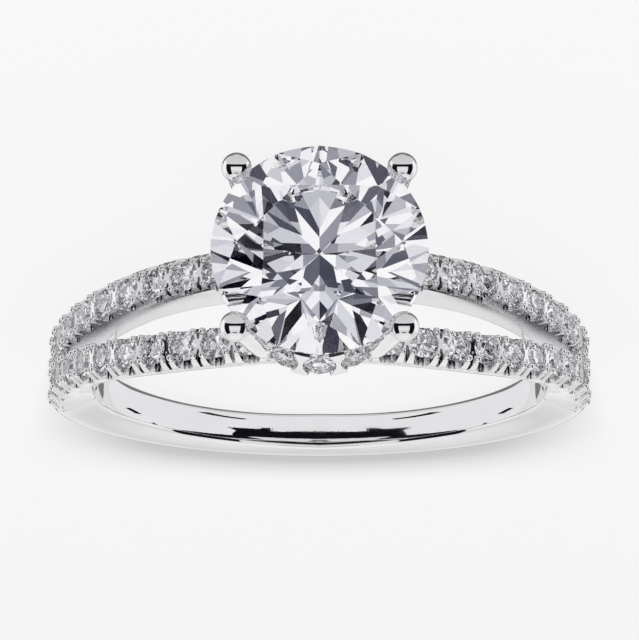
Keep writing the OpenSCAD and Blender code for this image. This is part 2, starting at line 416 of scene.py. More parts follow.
CELL_DEPTH = 1.4  # thickness of the metal in a cell before it is bent
KEEP_DEPTH = 0.62  # depth down to which a cell keeps its own shape
CELL_FOOT = 0.14  # rounding of its long edges at the finger hole
CELL_SLICES = 8
CELL_LEVELS = [-0.12, -0.25, -0.3, -KEEP_DEPTH, -0.8, -1.0, -1.2]
CELL_LINES = [-0.25, 0, 0.25]
COLLAR_FOOT = 0.1  # metal left of a cell under its own shape, on the collar
SEAT_AIR = 0.02
WELL_TOP = 0.3
WELL_TIP = 0.06  # width of the cone's tip against its top
SCALLOP = {"half": 0.36, "foot": 0.27, "floor": -0.38, "round": 0.16}
SLIT = {"half": 0.045, "at": 0.09, "top": -0.2, "floor": -0.46, "reach": 0.2}
# Painted shade: the metal's colour darkens below a depth over a run, but not at the walls, at the foot or
# under a stone
PAINTED_SHADE = {"from": -0.15, "run": 0.2, "wall": 0.02, "edge": 0.05, "foot": 0.2, "clear_r": 0.5,
          "slit_x": 0.15, "slit_y": 0.3}
SATIN = {"wall": 0.4, "saddle": 0.3}  # shares of the satin roughness
NOTCH = {"half": 0.12, "inner": 0.07, "floor": -0.42, "reach": 0.36, "point": 0.35}
BEAD = {"r": 0.13, "from_notch": 0.18, "across": 0.42, "z": 0.03}


def well(plan):
    """Room for a small stone: a round well with a cone under it."""
    bm = bmesh.new()
    r = plan.pave_d / 2 + SEAT_AIR
    ledge = -plan.sink - plan.pave_d * plan.girdle / 2 - SEAT_AIR
    bmesh.ops.create_cone(bm, cap_ends=True, segments=40, radius1=r, radius2=r, depth=WELL_TOP - ledge)
    bmesh.ops.translate(bm, vec=(0, 0, (WELL_TOP + ledge) / 2), verts=bm.verts[:])
    under = [f for f in bm.faces if f.normal.z < -0.9]
    cone = bmesh.ops.extrude_face_region(bm, geom=under)
    tip = [v for v in cone["geom"] if isinstance(v, bmesh.types.BMVert)]
    bmesh.ops.delete(bm, geom=under, context="FACES_ONLY")
    bmesh.ops.scale(bm, vec=(WELL_TIP, WELL_TIP, 1), verts=tip)
    bmesh.ops.translate(bm, vec=(0, 0, -plan.pave_d * plan.pavilion), verts=tip)
    return bm


def prism(top_half, foot_half, top, floor, y_from, y_to):
    """A bar along Y, narrower at its foot."""
    bm = bmesh.new()
    bmesh.ops.create_cube(bm, size=1)
    for vert in bm.verts:
        half = top_half if vert.co.z > 0 else foot_half
        vert.co = Vector((math.copysign(half, vert.co.x), y_to if vert.co.y > 0 else y_from,
                          top if vert.co.z > 0 else floor))
    return bm


def scallop(plan):
    """The rounded cut that opens a seat through both walls."""
    slope = (SCALLOP["half"] - SCALLOP["foot"]) / -SCALLOP["floor"]
    bm = prism(SCALLOP["half"] + slope * WELL_TOP, SCALLOP["foot"], WELL_TOP, SCALLOP["floor"],
               -plan.band_w, plan.band_w)
    round_edges(bm, SCALLOP["floor"], 0, SCALLOP["round"], 5)
    return bm


def put_at(bm, x, side):
    """Turns a cutter to one side of the band and moves it along."""
    bmesh.ops.scale(bm, vec=(1, side, 1), verts=bm.verts[:])
    bmesh.ops.translate(bm, vec=(x, 0, 0), verts=bm.verts[:])
    return bm


def notch(plan, x, side):
    """The notch that splits the end of a post into two beads."""
    wall = plan.band_w / 2
    inner, outer = wall - NOTCH["reach"], wall + plan.bulge
    slope = (NOTCH["half"] - NOTCH["inner"]) / -NOTCH["floor"]
    bm = prism(NOTCH["half"] + slope * WELL_TOP, NOTCH["inner"], WELL_TOP, NOTCH["floor"], inner, outer)
    near = [v for v in bm.verts if v.co.y < wall]
    bmesh.ops.scale(bm, vec=(NOTCH["point"], 1, 1), verts=near)
    raised = [v for v in near if v.co.z < 0]
    bmesh.ops.translate(bm, vec=(0, 0, -NOTCH["floor"] / 2), verts=raised)
    return put_at(bm, x, side)


def slit(plan, x, side):
    """One of the two slits under a stone's edge, at the foot of its scallop."""
    wall = plan.band_w / 2
    bm = prism(SLIT["half"], SLIT["half"], SLIT["top"], SLIT["floor"],
               wall - SLIT["reach"], wall + plan.bulge)
    return put_at(bm, x, side)


def paint_recess_shade(plan, bm, painted_shade_edge):
    """Paints shade onto what lies deep in the seats and notches, where light hardly gets in, and marks the
    satin walls.

    A dark edge of painted shade lies against the centre stone.
    """
    layer = bm.verts.layers.float.new("recess")
    satin = bm.verts.layers.float.new("satin")
    inside = plan.band_w / 2 - PAINTED_SHADE["wall"]
    for vert in bm.verts:
        # painted shade along the collar cell's edge against the centre stone
        if painted_shade_edge and vert.co.y > inside - PAINTED_SHADE["edge"]:
            vert[layer] = 1
        vert[satin] = SATIN["wall"] * (vert.co.y < -inside and vert.co.z < SLIT["floor"])
        in_slit = abs(vert.co.x) < PAINTED_SHADE["slit_x"] and abs(vert.co.y) > PAINTED_SHADE["slit_y"]
        under_stone = vert.co.xy.length < PAINTED_SHADE["clear_r"] and not in_slit
        over_foot = vert.co.z > PAINTED_SHADE["foot"] - CELL_DEPTH
        # painted shade deep in the seats and notches
        if abs(vert.co.y) < inside and over_foot and not under_stone:
            vert[layer] = min(max((PAINTED_SHADE["from"] - vert.co.z) / PAINTED_SHADE["run"], 0), 1)


def joined(parts):
    """One mesh of several, all freed."""
    bm = bmesh.new()
    for part in parts:
        mesh = to_mesh(part, "part")
        bm.from_mesh(mesh)
        bpy.data.meshes.remove(mesh)
    return bm


def cell(plan, span, stone, beads=True):
    """A flat stretch of band with open ends, with a stone's seat in its middle or plain.

    Its posts are notched and end in beads, or are broad and flat.
    """
    body = bar(span, plan.band_w / 2, CELL_DEPTH, plan.sharp_r / 2, CELL_FOOT, 3)
    cutters = [notch(plan, x, side) for x in (-span / 2, span / 2) for side in (-1, 1) if beads]
    if stone:
        cutters += [well(plan), scallop(plan)]
        cutters += [slit(plan, x, side) for x in (-SLIT["at"], SLIT["at"]) for side in (-1, 1)]
    bm = cut_away(body, joined(cutters))
    slice_evenly(bm, span, CELL_SLICES if stone else 2 * CELL_SLICES)
    slice_at(bm, 2, CELL_LEVELS)
    slice_at(bm, 1, CELL_LINES)
    open_ends(bm, span / 2)
    # painted shade in the recesses, and on the collar's cells a painted shade edge
    paint_recess_shade(plan, bm, not beads)
    if beads and stone:
        x = span / 2 - BEAD["from_notch"]
        for at in ((x * i, BEAD["across"] * j, BEAD["z"]) for i in (-1, 1) for j in (-1, 1)):
            bmesh.ops.create_icosphere(bm, subdivisions=2, radius=BEAD["r"], matrix=Matrix.Translation(at))
    return to_mesh(bm, "cell")


def weld(bm):
    """Joins the ends of neighbouring cells and closes the open ones."""
    bmesh.ops.remove_doubles(bm, verts=bm.verts[:], dist=WELD)
    bmesh.ops.holes_fill(bm, edges=[e for e in bm.edges if e.is_boundary], sides=0)


def deepened(z, thickness):
    """A cell's depth, stretched under its shaped top to reach a thickness."""
    if z > -KEEP_DEPTH:
        return z
    return -KEEP_DEPTH + (z + KEEP_DEPTH) * (thickness - KEEP_DEPTH) / (CELL_DEPTH - KEEP_DEPTH)


def bend_to_band(plan, middle, side):
    """Moves a point of a flat cell onto a band: side is 1 for the front band."""
    def move(co):
        th = middle + co.x / plan.pitch * plan.pave_step
        top = plan.top_r(th)
        thickness = top - plan.finger_r
        z = deepened(co.z, thickness)
        depth = min(max(-z, 0), thickness)
        edge = plan.wall(th, depth) if co.y > 0 else plan.gap_wall(th, depth)
        row = plan.row(th)
        u = mix(row, edge, abs(co.y) / (plan.band_w / 2))
        return place(th, top + z, side * u)
    return move


def bend_to_collar(plan, middle):
    """Moves a point of a flat cell onto the sloping collar."""
    out = Vector((math.cos(plan.halo_tilt), math.sin(plan.halo_tilt)))
    up = Vector((-out.y, out.x))
    def move(co):
        turn = middle + co.x / plan.pitch * plan.halo_step
        z = co.z
        if z <= -KEEP_DEPTH:
            z = -KEEP_DEPTH - COLLAR_FOOT * (-z - KEEP_DEPTH) / CELL_DEPTH
        r, s = Vector((plan.halo_r, plan.halo_rise)) + out * z + up * co.y
        return place_round(turn, r, s)
    return move


# Stones


def cut_stone(plan, diameter, table, sides, single=False):
    """A round stone with its table up and its girdle at 0, cut facet by facet from a cylinder.

    A brilliant has stars and halves besides its mains, and a single cut has only the mains.
    """
    r = diameter / 2
    t = r * table
    half = diameter * plan.girdle / 2
    crown = diameter * plan.crown
    depth = diameter * plan.pavilion
    wide, near = math.cos(math.radians(22.5)), math.cos(math.radians(11.25))
    star_r = mix(t * wide, r, plan.star)
    low_r = r * (1 - plan.halves)
    main_rise = crown / (r - t)
    half_rise = main_rise * (r - star_r * wide) / (near * (r - star_r))
    star_drop = crown - half_rise * near * (r - star_r)
    star_rise = star_drop / (star_r - t * wide)
    main_fall = depth / r
    half_fall = main_fall * (r - low_r * wide) / (near * (r - low_r))

    bm = bmesh.new()
    bmesh.ops.create_cone(bm, cap_ends=True, segments=sides, radius1=r, radius2=r, depth=4 * r)

    def facet(turn, reach, height, rise, sign):
        """Cuts with the plane that passes the height at the reach and climbs inwards by the rise."""
        normal = Vector((rise * math.cos(turn), rise * math.sin(turn), sign))
        at = Vector((reach * math.cos(turn), reach * math.sin(turn), height))
        cut = bmesh.ops.bisect_plane(bm, geom=all_geometry(bm), dist=1e-6, plane_co=at, plane_no=normal,
                                     clear_outer=True)
        rim = [e for e in cut["geom_cut"] if isinstance(e, bmesh.types.BMEdge)]
        bmesh.ops.edgeloop_fill(bm, edges=rim)

    facet(0, 0, half + crown, 0, 1)
    for i in range(8):
        main = math.radians(22.5 + 45 * i)
        facet(main, r, half, main_rise, 1)
        facet(main, r, -half, main_fall, -1)
        if single:
            continue
        facet(main + math.radians(22.5), t * wide, half + crown, star_rise, 1)
        for turn in (-11.25, 11.25):
            facet(main + math.radians(turn), r * near, half, half_rise, 1)
            facet(main + math.radians(turn), r * near, -half, half_fall, -1)
    bmesh.ops.remove_doubles(bm, verts=bm.verts[:], dist=1e-4)
    return bm


def stone_place(origin, outward, across):
    """Matrix that puts a stone's table outwards."""
    return Matrix.Translation(origin) @ Matrix((across.cross(outward), across, outward)).transposed().to_4x4()


TURN_STEP = 2.4  # each small stone is turned on from the last by this angle, in radians
SMALL_SIDES = 32


def add_small_stones(plan, spots, node, name):
    cut = to_mesh(cut_stone(plan, plan.pave_d, plan.small_table, SMALL_SIDES, single=True), "small_stone")
    bm = bmesh.new()
    for i, spot in enumerate(spots):
        turned = spot @ Matrix.Rotation(TURN_STEP * (i + len(name)), 4, "Z")
        add_copy(bm, cut, lambda co, turned=turned: turned @ co)
    material = diamond_material("small_diamond", (1, 1, 1), settings().colours.small_glint)
    finish_piece(name, bm, node, material, SHARP["stones"])


# Materials


def node_of(tree, kind, x, y, **values):
    node = tree.nodes.new(kind)
    node.location = (x, y)
    for name, value in values.items():
        setattr(node, name, value)
    return node


def link(source, output, target, socket):
    source.id_data.links.new(source.outputs[output], target.inputs[socket])


def set_inputs(node, values):
    for name, value in values.items():
        node.inputs[name].default_value = value


def new_material(name):
    """A new material, its node tree and its shader."""
    material = bpy.data.materials.new(name)
    material.use_nodes = True
    return material, material.node_tree, material.node_tree.nodes["Principled BSDF"]


def wear_group():
    """A node group that gives hazy patches and fine polishing lines over the surface."""
    name = "polish"
    if name in bpy.data.node_groups:
        return bpy.data.node_groups[name]
    tree = bpy.data.node_groups.new(name, "ShaderNodeTree")
    for socket, default in (("Patch size", 0.002), ("Line size", 0.0002)):
        made = tree.interface.new_socket(socket, in_out="INPUT", socket_type="NodeSocketFloat")
        made.default_value = default
    for socket in ("Haze", "Lines"):
        tree.interface.new_socket(socket, in_out="OUTPUT", socket_type="NodeSocketFloat")
    inside = node_of(tree, "NodeGroupInput", -900, 0)
    outside = node_of(tree, "NodeGroupOutput", 500, 0)
    coords = node_of(tree, "ShaderNodeTexCoord", -900, 300)
    for i, (size, output, detail) in enumerate((("Patch size", "Haze", 3), ("Line size", "Lines", 2))):
        rate = node_of(tree, "ShaderNodeMath", -600, -300 * i, operation="DIVIDE")
        set_inputs(rate, {0: 1})
        noise = node_of(tree, "ShaderNodeTexNoise", -300, -300 * i)
        set_inputs(noise, {"Detail": detail})
        link(inside, size, rate, 1)
        link(rate, 0, noise, "Scale")
        link(coords, "Object", noise, "Vector")
        link(noise, "Fac", outside, output)
    return tree


def ramp(tree, x, y, low, high):
    """A colour ramp between two (position, colour) stops."""
    node = node_of(tree, "ShaderNodeValToRGB", x, y)
    for stop, (position, tone) in zip(node.color_ramp.elements, (low, high)):
        stop.position = position
        stop.color = (*tone, 1)
    return node


SATIN_ROUGH = 0.42  # added in full where the share of satin is 1


def metal_material():
    """Mirror-polished white gold with a faint haze and fine polishing lines."""
    name = "polished_white_gold"
    if name in bpy.data.materials:
        return bpy.data.materials[name]
    colours = settings().colours
    material, tree, shader = new_material(name)
    set_inputs(shader, {"Metallic": 1})
    wear = node_of(tree, "ShaderNodeGroup", -900, 0, node_tree=wear_group())
    tone = ramp(tree, -600, 200, (0.35, colours.gold), (0.7, colours.gold_haze))
    rough = ramp(tree, -600, -100, (0.4, (0.02,) * 3), (0.75, (0.055,) * 3))
    bump = node_of(tree, "ShaderNodeBump", -300, -300)
    set_inputs(bump, {"Strength": 0.02, "Distance": 0.00002})
    # painted shade: the base colour darkens by the piece's attribute, in recesses and at the collar's edge
    recess = node_of(tree, "ShaderNodeAttribute", -600, 450, attribute_name="recess")
    shade = node_of(tree, "ShaderNodeMix", -300, 300, data_type="RGBA")
    shade.inputs["B"].default_value = (*colours.gold_painted_shade, 1)
    satin = node_of(tree, "ShaderNodeAttribute", -600, -350, attribute_name="satin")
    finish = node_of(tree, "ShaderNodeMath", -300, -100, operation="MULTIPLY_ADD")
    set_inputs(finish, {1: SATIN_ROUGH})
    link(wear, "Haze", tone, "Fac")
    link(recess, "Fac", shade, "Factor")
    link(tone, "Color", shade, "A")
    link(shade, "Result", shader, "Base Color")
    link(wear, "Haze", rough, "Fac")
    link(satin, "Fac", finish, 0)
    link(rough, "Color", finish, 2)
    link(finish, 0, shader, "Roughness")
    link(wear, "Lines", bump, "Height")
    link(bump, "Normal", shader, "Normal")
    return material


def diamond_material(name, clear, glint):
    """Clear diamond with a faint cool tint that drifts through it.

    The glint is the strength of the light that a stone's outside reflects.
    """
    if name in bpy.data.materials:
        return bpy.data.materials[name]
    material, tree, shader = new_material(name)
    set_inputs(shader, {"Roughness": 0, "IOR": 2.417, "Transmission Weight": 1, "Specular Tint": (*glint, 1)})
    coords = node_of(tree, "ShaderNodeTexCoord", -900, 0)
    noise = node_of(tree, "ShaderNodeTexNoise", -700, 0)
    set_inputs(noise, {"Scale": 700})
    cool = tuple(a * b for a, b in zip(clear, settings().colours.diamond_cool))
    tone = ramp(tree, -450, 0, (0.4, clear), (0.7, cool))
    link(coords, "Object", noise, "Vector")
    link(noise, "Fac", tone, "Fac")
    link(tone, "Color", shader, "Base Color")
    return material


# The pieces


SADDLE = {"steps": 32, "sunk": 0.2, "rise": 0.25, "foot": 0.03}  # sunk into the bands, raised at its sides
SHANK_STEPS = 72
COLLAR_RINGS = (  # inner and outer radius, foot and top over the bands' top face, and how much painted shade
    (1.78, 2.42, 0.3, 1.47, 1),
    (1.55, 2.15, -0.8, 0.4, 0),
)
COLLAR_STEPS = 96
PRONG_ROUTE = (  # from the stone's axis, over the bands' top face, and radius
    (3.45, 4.7, 0.44), (3.08, 2.8, 0.43), (2.78, 1.2, 0.4), (2.52, 0.3, 0.38), (2.2, -0.5, 0.38),
)
PRONG = {"neck": 0.8, "sides": 32, "per_run": 6}  # the neck is a share of the ball
BALL = {"u_segments": 48, "v_segments": 32}
CENTRE_SIDES = 128


class RING_OT_split_bands(bpy.types.Operator):
    """Models the two set bands with their scallops, posts and beads"""

    bl_idname = "ring.split_bands"
    bl_label = "Split bands"

    def execute(self, context):
        plan = Plan()
        set_cell = cell(plan, plan.pitch, True)
        bare_half = plan.pave_from - plan.pave_step / 2
        bare_cell = cell(plan, 2 * bare_half / plan.pave_step * plan.pitch, False)
        bm = bmesh.new()
        for side in (-1, 1):
            add_copy(bm, bare_cell, bend_to_band(plan, 0, side))
            for th in plan.stone_angles(-1) + plan.stone_angles(1):
                add_copy(bm, set_cell, bend_to_band(plan, th, side))
        weld(bm)
        for hand in (-1, 1):
            self.saddle(plan, bm, hand)
        finish_piece("split_bands", bm, "ring_metal", metal_material(), SHARP["cells"])
        return {"FINISHED"}

    def saddle(self, plan, bm, hand):
        """The smooth saddle between the bands, which closes the gap at one side of the ring."""
        mesh = bar(1, 1, 1, 0.05, 0.05, 2)
        slice_evenly(mesh, 1, SADDLE["steps"])
        slice_at(mesh, 1, [-0.6, -0.3, 0, 0.3, 0.6])
        satin = mesh.verts.layers.float.new("satin")
        for vert in mesh.verts:
            vert[satin] = SATIN["saddle"]
        mesh = to_mesh(mesh, "saddle")
        def bend(co):
            th = mix(plan.saddle_from, plan.plain_from + plan.pave_step, co.x + 0.5)
            depth = plan.saddle_depth(th)
            half = plan.row(th) - plan.band_w / 2 + SADDLE["sunk"]
            top = plan.top_r(th) - depth + SADDLE["rise"] * half * co.y ** 2 * (depth > plan.saddle_top)
            return place(hand * th, mix(top, plan.finger_r + SADDLE["foot"], -co.z), co.y * half)
        add_copy(bm, mesh, bend)


class RING_OT_plain_shank(bpy.types.Operator):
    """Models the plain back of the shank, from the last stones round"""

    bl_idname = "ring.plain_shank"
    bl_label = "Plain shank"

    def execute(self, context):
        plan = Plan()
        corner_share = 0.3
        bm = bar(1, 1, 1, corner_share, 0.1, 6)
        slice_evenly(bm, 1, SHANK_STEPS)
        slice_at(bm, 1, [-0.4, 0, 0.4])
        slice_at(bm, 2, [-0.45, -0.6, -0.75])
        flat = 1 - corner_share
        span = 2 * (math.pi - plan.plain_from)
        for vert in bm.verts:
            th = math.pi + vert.co.x * span
            if th > math.pi:
                th -= 2 * math.pi
            corner = plan.corner(th)
            depth = -vert.co.z
            if depth < corner_share:
                depth = depth / corner_share * corner
            else:
                depth = mix(corner, plan.shank_t, (depth - corner_share) / flat)
            wall = plan.wall(th, depth)
            out = abs(vert.co.y)
            if out < flat:
                out = mix(0, wall - corner, out / flat)
            else:
                out = mix(wall - corner, wall, (out - flat) / corner_share)
            vert.co = place(th, plan.shank_r - depth, math.copysign(out, vert.co.y))
        finish_piece("plain_shank", bm, "ring_metal", metal_material(), SHARP["plain"])
        return {"FINISHED"}


class RING_OT_collar(bpy.types.Operator):
    """Models the sloping collar with the halo's seats and the plain ring under it"""

    bl_idname = "ring.collar"
    bl_label = "Collar"

    def execute(self, context):
        plan = Plan()
        set_cell = cell(plan, plan.pitch, True, beads=False)
        bm = bmesh.new()
        for turn in plan.halo_turns():
            add_copy(bm, set_cell, bend_to_collar(plan, turn))
        weld(bm)
        for inner, outer, low, high, shade in COLLAR_RINGS:
            ring = bar(2 * math.pi, (high - low) / 2, outer - inner, 0.1, 0.1, 3)
            open_ends(ring, math.pi)
            slice_evenly(ring, 2 * math.pi, COLLAR_STEPS)
            # the upper ring gets painted shade, a dark line in the gap between the stone and the collar
            recess = ring.verts.layers.float.new("recess")
            for vert in ring.verts:
                vert[recess] = shade
            mesh = to_mesh(ring, "ring")
            middle = plan.band_r + (low + high) / 2
            add_copy(bm, mesh, lambda co: place_round(co.x, outer + co.z, middle + co.y))
        bmesh.ops.remove_doubles(bm, verts=bm.verts[:], dist=WELD)
        finish_piece("collar", bm, "ring_metal", metal_material(), SHARP["cells"])
        return {"FINISHED"}


class RING_OT_prongs(bpy.types.Operator):
    """Models the four prongs, each a bent post with a ball over the stone's edge"""

    bl_idname = "ring.prongs"
    bl_label = "Prongs"

    def execute(self, context):
        plan = Plan()
        ball_r = plan.ball_d / 2
        top = Vector((plan.prong_out * math.sqrt(2), plan.stone_rise + plan.ball_rise))
        stations = [(top, ball_r * PRONG["neck"])]
        stations += [(Vector((out, plan.band_r + over)), r) for out, over, r in PRONG_ROUTE]
        upright = Matrix.Rotation(math.pi / 2, 3, "X")
        bm = bmesh.new()
        for quarter in range(4):
            spin = Matrix.Rotation(math.radians(45 + 90 * quarter), 4, "Y")
            self.post(bm, stations, spin)
            ball = bmesh.ops.create_uvsphere(bm, radius=ball_r, **BALL)["verts"]
            bmesh.ops.rotate(bm, verts=ball, cent=(0, 0, 0), matrix=upright)
            bmesh.ops.translate(bm, verts=ball, vec=spin @ Vector((top.x, -top.y, 0)))
        finish_piece("prongs", bm, "ring_metal", metal_material(), SHARP["plain"])
        return {"FINISHED"}

    def post(self, bm, stations, spin):
        """Extrudes a round section down through the stations, smoothed between them."""
        route = []
        per_run = PRONG["per_run"]
        for i in range(len(stations) - 1):
            (a, ra), (b, rb) = stations[i], stations[i + 1]
            before = stations[max(i - 1, 0)][0]
            after = stations[min(i + 2, len(stations) - 1)][0]
            for k in range(per_run + (i == len(stations) - 2)):
                t = k / per_run
                bent = (a * 2 + (b - before) * t + (before * 2 - a * 5 + b * 4 - after) * t ** 2
                        + (a * 3 - before - b * 3 + after) * t ** 3) / 2
                route.append((bent, mix(ra, rb, t)))
        ring = bmesh.ops.create_circle(bm, cap_ends=True, segments=PRONG["sides"], radius=1)["verts"]
        edges = list({e for v in ring for e in v.link_edges})
        rings = [ring]
        for _ in route[1:]:
            grown = bmesh.ops.extrude_edge_only(bm, edges=edges)["geom"]
            edges = [g for g in grown if isinstance(g, bmesh.types.BMEdge)
                     and all(v in grown for v in g.verts)]
            ring = [g for g in grown if isinstance(g, bmesh.types.BMVert)]
            rings.append(ring)
        bmesh.ops.contextual_create(bm, geom=edges)
        for verts, (at, r), i in zip(rings, route, range(len(route))):
            along = (route[min(i + 1, len(route) - 1)][0] - route[max(i - 1, 0)][0]).normalized()
            out = Vector((-along.y, along.x))
            for vert in verts:
                flat = Vector((vert.co.x, vert.co.y))
                side = at + out * flat.x * r
                vert.co = spin @ Vector((side.x, -side.y, flat.y * r))


class RING_OT_centre_stone(bpy.types.Operator):
    """Cuts the round brilliant of the head"""

    bl_idname = "ring.centre_stone"
    bl_label = "Centre stone"

    def execute(self, context):
        plan = Plan()
        bm = cut_stone(plan, plan.stone_d, plan.table, CENTRE_SIDES)
        put = stone_place(Vector((0, -plan.stone_rise, 0)), Vector((0, -1, 0)), Vector((0, 0, 1)))
        bmesh.ops.transform(bm, matrix=put, verts=bm.verts[:])
        colours = settings().colours
        material = diamond_material("centre_diamond", colours.diamond, colours.centre_glint)
        finish_piece("round_brilliant", bm, "center_stone", material, SHARP["stones"])
        return {"FINISHED"}


class RING_OT_pave(bpy.types.Operator):
    """Cuts the small stones of the four half rows"""

    bl_idname = "ring.pave"
    bl_label = "Pave stones"

    def execute(self, context):
        plan = Plan()
        for band, side in (("front", 1), ("rear", -1)):
            for hand_name, hand in (("left", -1), ("right", 1)):
                spots = []
                for th in plan.stone_angles(hand):
                    spot = place(th, plan.top_r(th) - plan.sink, side * plan.row(th))
                    spots.append(stone_place(spot, place(th, 1, 0), Vector((0, 0, 1))))
                node = f"{band}_{hand_name}_pave"
                add_small_stones(plan, spots, node, f"{node}_stones")
        return {"FINISHED"}


class RING_OT_halo(bpy.types.Operator):
    """Cuts the small stones of the hidden halo"""

    bl_idname = "ring.halo"
    bl_label = "Halo stones"

    def execute(self, context):
        plan = Plan()
        out = Vector((0, -math.sin(plan.halo_tilt), math.cos(plan.halo_tilt)))
        spot = Vector((0, -plan.halo_rise, plan.halo_r)) - out * plan.sink
        spots = []
        for turn in plan.halo_turns():
            spin = Matrix.Rotation(turn, 4, "Y")
            spots.append(stone_place(spin @ spot, (spin @ out).normalized(), spin @ Vector((1, 0, 0))))
        add_small_stones(plan, spots, "halo_stones", "halo_set_stones")
        return {"FINISHED"}


# The studio


FLOOR_GLOW = 0.52
FLOOR_HALF = 1.5
LAMP = {"power": 2180, "size": (1.24, 0.31), "place": (0, -2.9, 0.75)}
CARDS_FAR = 0.3
SKY_FAR = 0.5
SURROUND = ((0, 0.95), (0.2, 0.71), (0.36, 0.9), (0.5, 0.78), (1, 0.64))  # from the picture's foot to its top
CARDS = {  # tone, then degrees across the picture and up it, seen from the ring towards the camera
    "black_frame": ((0.006, 0.006, 0.012), [(-82, 82, 5, 22), (41, 82, -45, 5), (-82, -41, -45, 5),
                                            (-20, 20, -47, -40)]),
    "soft_boxes": ((1.0, 1.0, 1.0), [(88, 125, -20, 30), (-125, -88, -20, 30)]),
    "back_card": ((0.2, 0.2, 0.21), [(155, 205, -12, 30), (130, 230, 14, 65)]),
}
SKY = {"step": 10, "across": 2, "up": 4, "tones": 17, "dark_near": 35, "glow": 1.12}
HOLE_CARD_Z = 0.16
HOLE_CARDS = [  # outlines in mm over the floor's middle, each also mirrored
    [(0, 6.15), (0.4, 6.2), (0.4, 6.5), (0.25, 7.05), (0, 7.35), (0.1, 7.6), (1.2, 6.4), (2.6, 5.1),
     (4.5, 3.4), (6.8, 1.2), (6.6, -1.0), (4.0, -3.3), (0, -3.3)],
    [(1.8, 9.6), (1.9, 9.88), (3.3, 9.75), (3.4, 9.48)],
]
LIGHT_CARD_R = 7.9
GAP_CARD = {"over": 0.05, "width": 0.95}  # height over the saddle, and share of the gap's width


def view_axes():
    """The ring's centre, the direction to the camera and the picture's upward direction."""
    studio = settings().studio
    axis = Vector(HOLE["axis"]).normalized()
    head = axis.cross(Vector((1, 0, 0))) * -1
    towards = head * math.cos(studio.tilt) + axis * math.sin(studio.tilt)
    upward = head * math.sin(studio.tilt) - axis * math.cos(studio.tilt)
    return Vector(HOLE["pos_m"]), towards, upward


def sky_place(across, up, far):
    """The place at two angles across and up the picture, far from the ring's centre."""
    centre, towards, upward = view_axes()
    level = upward.cross(towards) * math.sin(across) + towards * math.cos(across)
    return centre + (level * math.cos(up) + upward * math.sin(up)) * far


def glow_material(name, tone):
    """A stage material that only gives off light."""
    material, tree, shader = new_material(name)
    set_inputs(shader, {"Base Color": (0, 0, 0, 1), "Specular IOR Level": 0,
                        "Emission Color": (*tone, 1), "Emission Strength": 1})
    return material


def stage_card(name, bm, material, for_stones=False):
    """A card that only the metal's reflections see, or only what shines through the stones."""
    card = add_object(name, to_mesh(bm, name))
    card.data.materials.append(material)
    card.visible_camera = False
    card.visible_diffuse = False
    card.visible_shadow = False
    card.visible_glossy = not for_stones
    card.visible_transmission = for_stones


